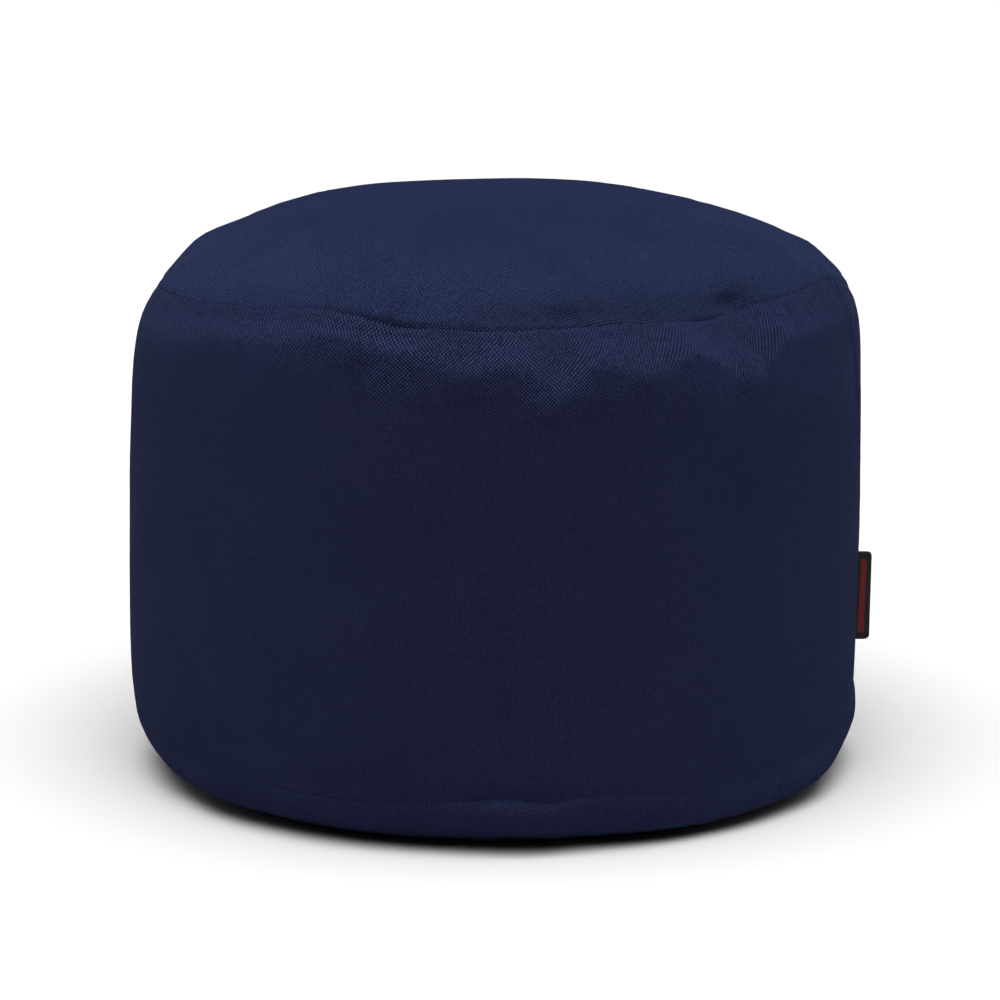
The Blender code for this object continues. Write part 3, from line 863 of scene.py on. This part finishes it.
def stitch_row(row, cloth):
    """A closed row of stitches laid on the cloth."""
    count = round(math.tau * row.radius / (row.pitch * MM))
    height = row.seam + row.above * MM
    azimuths = np.arange(count) * 360.0 / count
    reach = math.degrees(row.stitch * MM / 2.0 / row.radius)
    ends = []
    for turn in (-reach, reach):
        turns = np.radians(azimuths + turn)
        radius = np.full(count, wall_radius(height))
        turned = np.stack((radius * np.sin(turns), -radius * np.cos(turns), np.full(count, height)), axis=1)
        places, _ = shape_points(turned)
        ends.append([cloth.find_nearest(Vector(place)) for place in places])
    thread = bmesh.new()
    batch, finished = bmesh.new(), bpy.data.meshes.new(row.name)
    for number, (start, end) in enumerate(zip(*ends)):
        if number % BATCH == 0:
            batch.to_mesh(finished)
            thread.from_mesh(finished)
            batch.clear()
        along = (end[0] - start[0]).normalized()
        out = start[1] + end[1]
        out = (out - along * out.dot(along)).normalized()
        middle = (start[0] + end[0]) / 2.0 - out * STITCH_SINK
        laid = Matrix((along, out.cross(along), out)).transposed().to_4x4()
        half_thread = row.thread * MM / 2.0
        size = Matrix.Diagonal((row.stitch * MM / 2.0, half_thread, half_thread, 1.0))
        bmesh.ops.create_uvsphere(
            batch,
            u_segments=6,
            v_segments=4,
            radius=1.0,
            matrix=Matrix.Translation(middle) @ laid @ size @ Matrix.Rotation(math.pi / 2.0, 4, "Y"),
        )
    batch.to_mesh(finished)
    thread.from_mesh(finished)
    batch.free()
    return thread


def thread_finish():
    """Navy polyester thread with a slight gloss, its twist as fine bumps."""
    material = bpy.data.materials.new("sewing thread")
    material.use_nodes = True
    tree = material.node_tree
    node, _ = tree_maker(tree)
    shader = tree.nodes["Principled BSDF"]
    place = node("ShaderNodeTexCoord").outputs["Object"]
    twist = node("ShaderNodeTexWave", Vector=place, Scale=900.0, Distortion=1.0)
    bump = node("ShaderNodeBump", Height=twist.outputs["Fac"], Strength=0.4, Distance=0.0001)
    tree.links.new(bump.outputs["Normal"], shader.inputs["Normal"])
    # Painted shade and light: the thread is darker in the grooves of its twist and lighter on its ridges,
    # along with the bumps.
    navy = node("ShaderNodeMix", {"data_type": "RGBA"})
    navy.inputs[6].default_value = THREAD_DARK
    navy.inputs[7].default_value = THREAD_LIGHT
    tree.links.new(twist.outputs["Fac"], navy.inputs["Factor"])
    tree.links.new(navy.outputs[2], shader.inputs["Base Color"])
    shader.inputs["Roughness"].default_value = 0.6
    shader.inputs["Specular IOR Level"].default_value = 0.1
    return material


THREAD = thread_finish()
cloth_tree = BVHTree.FromObject(side_cover, bpy.context.evaluated_depsgraph_get())
for row in ROWS:
    stitches = add_piece(row.name, stitch_row(row, cloth_tree), THREAD)

# ----------------------------------------------------------------------------------------- side tab
# A black woven ribbon folded double, its two ends caught in the upright seam, so that it stands out as a
# small tab. A plain dark red stripe is woven along its fold.

TAB_FOOT = 0.0775
TAB_HEAD = 0.1455
TAB_STRETCH = 1.02
TAB_FLARE = 0.11  # how much further out the tab stands at its foot, and less at its head
TAB_LENGTH = 11.0 * MM
TAB_CLOTH = 0.8 * MM
TAB_GAP = 0.25 * MM
TAB_CORNER = 3.6 * MM
TAB_LEAF_STEPS = 8
TAB_FOLD_STEPS = 8
TAB_ROWS = 26
TAB_SEAT = 0.75 * MM  # how far its two ends stand out from the bottom of the seam's groove
STRIPE_MIDDLE = 5.6 * MM  # from the fold
STRIPE_HALF_WIDTH = 2.2 * MM
STRIPE_HALF_LENGTH = 31.0 * MM
STRIPE_RAGGED = 0.5 * MM
RIB_PITCH = 0.75 * MM
PICK_PITCH = 0.55 * MM
RIBBON_BLACK = (0.0210, 0.0230, 0.0230, 1.0)
STRIPE_RED = (0.3150, 0.0230, 0.0300, 1.0)


def side_seam_point(height):
    """The bottom of the side seam's groove at a height."""
    azimuth = float(seam_azimuth(height))
    turn = math.radians(azimuth)
    radius = wall_radius(height) - SIDE_SEAM_DEPTH
    above_base = np.array([height - BASE_SEAM_HEIGHT])
    radius += float(fold_depth(BASE_FOLDS, np.array([azimuth]), above_base, radius)[0])
    shift = float(between(LEANS, height))
    return Vector((radius * math.sin(turn) + shift, -radius * math.cos(turn), height))


def folded_ribbon(half_width):
    """The ribbon out to its fold and back along X, its width along Z, its two outer corners rounded."""
    ribbon = bmesh.new()
    half_apart = TAB_GAP / 2.0 + TAB_CLOTH
    fold_at = TAB_LENGTH - half_apart
    cut = ribbon.loops.layers.uv.new("cut")
    leaf = [fold_at * step / TAB_LEAF_STEPS for step in range(TAB_LEAF_STEPS)]
    run = [(place, -half_apart) for place in leaf]
    for step in range(TAB_FOLD_STEPS + 1):
        turn = math.pi * step / TAB_FOLD_STEPS - math.pi / 2.0
        run.append((fold_at + half_apart * math.cos(turn), half_apart * math.sin(turn)))
    run += [(place, half_apart) for place in reversed(leaf)]
    edge = [ribbon.verts.new((*run[0], 0.0))]
    for place in run[1:]:
        edge.append(ribbon.verts.new((*place, 0.0)))
        ribbon.edges.new(edge[-2:])
    bmesh.ops.translate(ribbon, verts=edge, vec=(0.0, 0.0, -half_width))
    grown = ribbon.edges[:]
    for _ in range(TAB_ROWS):
        made = bmesh.ops.extrude_edge_only(ribbon, edges=grown)["geom"]
        bmesh.ops.translate(
            ribbon,
            verts=[item for item in made if isinstance(item, bmesh.types.BMVert)],
            vec=(0.0, 0.0, 2.0 * half_width / TAB_ROWS),
        )
        grown = [
            item for item in made
            if isinstance(item, bmesh.types.BMEdge) and item.verts[0].co.z == item.verts[1].co.z
        ]
    reach = TAB_LENGTH - TAB_CORNER
    for face in ribbon.faces:
        for loop in face.loops:
            x, y, z = loop.vert.co
            loop[cut].uv = (x if y < 0.0 else 2.0 * TAB_LENGTH - x, z)
    for vert in ribbon.verts:
        past = max(vert.co.x - reach, 0.0) / TAB_CORNER
        if past > 0.0:
            drop = TAB_CORNER * (1.0 - math.sqrt(max(1.0 - past * past, 0.0)))
            vert.co.z *= 1.0 - drop / half_width
        vert.co.x *= TAB_STRETCH - TAB_FLARE * vert.co.z / half_width
    bmesh.ops.recalc_face_normals(ribbon, faces=ribbon.faces[:])
    bmesh.ops.solidify(ribbon, geom=ribbon.faces[:], thickness=TAB_CLOTH)
    bmesh.ops.recalc_face_normals(ribbon, faces=ribbon.faces[:])
    return ribbon


def ribbon_finish():
    """Close black ribbon weave with its plain red stripe, both in fine ribs across the tab."""
    material = bpy.data.materials.new("ribbon weave")
    material.use_nodes = True
    tree = material.node_tree
    node, sums = tree_maker(tree)
    shader = tree.nodes["Principled BSDF"]
    split = node("ShaderNodeSeparateXYZ", Vector=node("ShaderNodeUVMap", {"uv_map": "cut"}).outputs["UV"])
    from_fold = sums("ABSOLUTE", sums("SUBTRACT", split.outputs["X"], TAB_LENGTH))
    off_stripe = sums("ABSOLUTE", sums("SUBTRACT", from_fold, STRIPE_MIDDLE))
    ragged = node("ShaderNodeTexNoise", Vector=node("ShaderNodeTexCoord").outputs["Object"], Scale=1400.0)
    off_stripe = sums("MULTIPLY_ADD", ragged.outputs["Fac"], STRIPE_RAGGED, off_stripe)
    stripe = sums("LESS_THAN", off_stripe, STRIPE_HALF_WIDTH)
    ends = sums("LESS_THAN", sums("ABSOLUTE", split.outputs["Y"]), STRIPE_HALF_LENGTH)
    rib = sums("SINE", sums("MULTIPLY", split.outputs["Y"], math.tau / RIB_PITCH))
    pick = sums("SINE", sums("MULTIPLY", split.outputs["X"], math.tau / PICK_PITCH))
    height = sums("MULTIPLY_ADD", sums("MULTIPLY", rib, pick), 0.25, sums("MULTIPLY_ADD", rib, 0.25, 0.5))
    colour = node("ShaderNodeMix", {"data_type": "RGBA"})
    colour.inputs[6].default_value = RIBBON_BLACK
    colour.inputs[7].default_value = STRIPE_RED
    tree.links.new(sums("MULTIPLY", stripe, ends), colour.inputs["Factor"])
    shaded = node("ShaderNodeMix", {"data_type": "RGBA", "blend_type": "MULTIPLY"})
    shaded.inputs["Factor"].default_value = 1.0
    tree.links.new(colour.outputs[2], shaded.inputs[6])
    grey = node("ShaderNodeCombineColor", Red=height, Green=height, Blue=height)
    tree.links.new(grey.outputs["Color"], shaded.inputs[7])
    tree.links.new(shaded.outputs[2], shader.inputs["Base Color"])
    bump = node("ShaderNodeBump", Height=height, Strength=0.7, Distance=0.00015)
    tree.links.new(bump.outputs["Normal"], shader.inputs["Normal"])
    tree.links.new(sums("MULTIPLY_ADD", height, -0.15, 0.75), shader.inputs["Roughness"])
    shader.inputs["Specular IOR Level"].default_value = 0.2
    return material


tab_foot, tab_head = side_seam_point(TAB_FOOT), side_seam_point(TAB_HEAD)
tab_width = (tab_head - tab_foot).length
tab_shape = folded_ribbon(tab_width / 2.0)
up = (tab_head - tab_foot).normalized()
middle = (tab_foot + tab_head) / 2.0
turn = math.radians(float(seam_azimuth(middle.z)))
out = Vector((math.sin(turn), -math.cos(turn), 0.0))
out = (out - up * out.dot(up)).normalized()
seated = Matrix.Translation(middle + out * TAB_SEAT) @ Matrix((out, up.cross(out), up)).transposed().to_4x4()
bmesh.ops.transform(tab_shape, matrix=seated, verts=tab_shape.verts[:])
tab = add_piece("tab", tab_shape, ribbon_finish())
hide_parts("side_tab")

# ----------------------------------------------------------------------------------------- top round
# A round of the same cloth, cut 0.51 m across and sewn face to face to the strip's top edge. The
# filling domes it, and where the thread is tighter than the cloth it dents beside the seam.


def cloth_round(skin, region):
    """One round of cloth, with its outside on the skin."""
    sheet = skin.copy()
    others = [face for face in sheet.faces if face.material_index != region]
    bmesh.ops.delete(sheet, geom=others, context="FACES")
    rim = bmesh.ops.inset_region(sheet, faces=sheet.faces[:], thickness=2.0 * SEAM_GAP, use_boundary=True)
    bmesh.ops.delete(sheet, geom=rim["faces"], context="FACES")
    bmesh.ops.solidify(sheet, geom=sheet.faces[:], thickness=CLOTH_THICKNESS)
    return sheet


# The top round's copy of the cloth is lighter than the side's: painted light where the overhead light falls
# on the top.
top_cloth = woven_cloth(
    "top cloth",
    shaded_hollow=(0.0022, 0.0031, 0.0090),
    yarn=(0.0090, 0.0126, 0.033),
    lit_cross_yarn=(0.0375, 0.0516, 0.135),
    grain=20.0,
    opens="outwards",
    tight_and_shaded_at=0.10,
    open_and_lit_at=0.215,
    openness_and_light=0.80,
)
top_round = add_piece("top_round", cloth_round(outside, CROWN), top_cloth)
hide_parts("top_panel")

# ---------------------------------------------------------------------------------------- base round
# The base is a second round like the top one. The weight of the filling presses its middle flat on
# the floor, and its edge curls up to meet the strip.

# The base round's copy has its plain yarn lighter than the side's: painted light on the curled foot, which
# the floor lights from below.
base_cloth = woven_cloth(
    "base cloth",
    shaded_hollow=(0.0023, 0.0028, 0.0085),
    yarn=(0.0112, 0.0134, 0.037),
    lit_cross_yarn=(0.0385, 0.0468, 0.128),
    grain=8.0,
    opens="outwards",
    tight_and_shaded_at=0.19,
    open_and_lit_at=0.25,
    openness_and_light=0.35,
)
base_round = add_piece("base_round", cloth_round(outside, BASE), base_cloth)
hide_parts("base_panel")
outside.free()

# ------------------------------------------------------------------------------------ floor and light
# A matt grey floor that reads as white under a broad light from above, and lights the pouf's wall from
# below. Two soft lights stand low at the sides and a little behind, for its edges.

FLOOR_HALF = 30.0
FLOOR_GREY = 0.58

floor_shape = bmesh.new()
bmesh.ops.create_grid(floor_shape, x_segments=1, y_segments=1, size=FLOOR_HALF)
floor_mesh = bpy.data.meshes.new("floor")
floor_shape.to_mesh(floor_mesh)
floor_shape.free()
floor = bpy.data.objects.new("floor", floor_mesh)
bpy.context.scene.collection.objects.link(floor)
floor_paint = bpy.data.materials.new("floor paint")
floor_paint.use_nodes = True
paint = floor_paint.node_tree.nodes["Principled BSDF"]
paint.inputs["Base Color"].default_value = (FLOOR_GREY, FLOOR_GREY, FLOOR_GREY, 1.0)
paint.inputs["Roughness"].default_value = 0.9
paint.inputs["Specular IOR Level"].default_value = 0.0
floor_mesh.materials.append(floor_paint)

LIGHT_FROM = (0.0, -0.225, 0.974)  # overhead, and a little towards the front

world = bpy.data.worlds.new("studio")
world.use_nodes = True
node, _ = tree_maker(world.node_tree)
background = world.node_tree.nodes["Background"]
towards_light = node("ShaderNodeVectorMath", {"operation": "DOT_PRODUCT"})
world.node_tree.links.new(node("ShaderNodeTexCoord").outputs["Generated"], towards_light.inputs[0])
towards_light.inputs[1].default_value = LIGHT_FROM
overhead = node(
    "ShaderNodeMapRange",
    {"interpolation_type": "SMOOTHSTEP"},
    Value=towards_light.outputs["Value"],
    From_Min=0.72,
    From_Max=1.0,
    To_Min=0.02,
    To_Max=7.25,
)
background.inputs["Color"].default_value = (1.0, 1.0, 1.0, 1.0)
world.node_tree.links.new(overhead.outputs["Result"], background.inputs["Strength"])
bpy.context.scene.world = world

SOFTBOX_SIZE = (0.8, 1.4)
SOFTBOX_WATTS = 4.2
SOFTBOX_AIM = Vector((0.0, 0.0, 0.2))

for side, across in (("left", -2.2), ("right", 2.2)):
    light = bpy.data.lights.new(side + " softbox", "AREA")
    light.shape = "RECTANGLE"
    light.size, light.size_y = SOFTBOX_SIZE
    light.energy = SOFTBOX_WATTS
    lamp = bpy.data.objects.new(side + " softbox", light)
    lamp.location = (across, 0.6, 0.9)
    lamp.rotation_euler = (SOFTBOX_AIM - lamp.location).to_track_quat("-Z", "Y").to_euler()
    bpy.context.scene.collection.objects.link(lamp)

# -------------------------------------------------------------------------------------------- camera
# A long lens a little above the pouf's top, aimed at its middle, so that the top shows as a narrow oval.
# A shift of a few pixels frames it.

FOCUS = Vector((0.0, 0.0, 0.19))
DISTANCE = 2.8
ELEVATION = math.radians(12.31)
lens = bpy.data.cameras.new("camera")
lens.lens = 146.82
lens.sensor_width = 36.0
lens.shift_x = 0.0039
lens.shift_y = -0.0145
lens.clip_end = 100.0
camera = bpy.data.objects.new("camera", lens)
camera.location = FOCUS + DISTANCE * Vector((0.0, -math.cos(ELEVATION), math.sin(ELEVATION)))
camera.rotation_euler = (FOCUS - camera.location).to_track_quat("-Z", "Y").to_euler()
bpy.context.scene.collection.objects.link(camera)
bpy.context.scene.camera = camera
bpy.context.scene.view_settings.view_transform = "Standard"
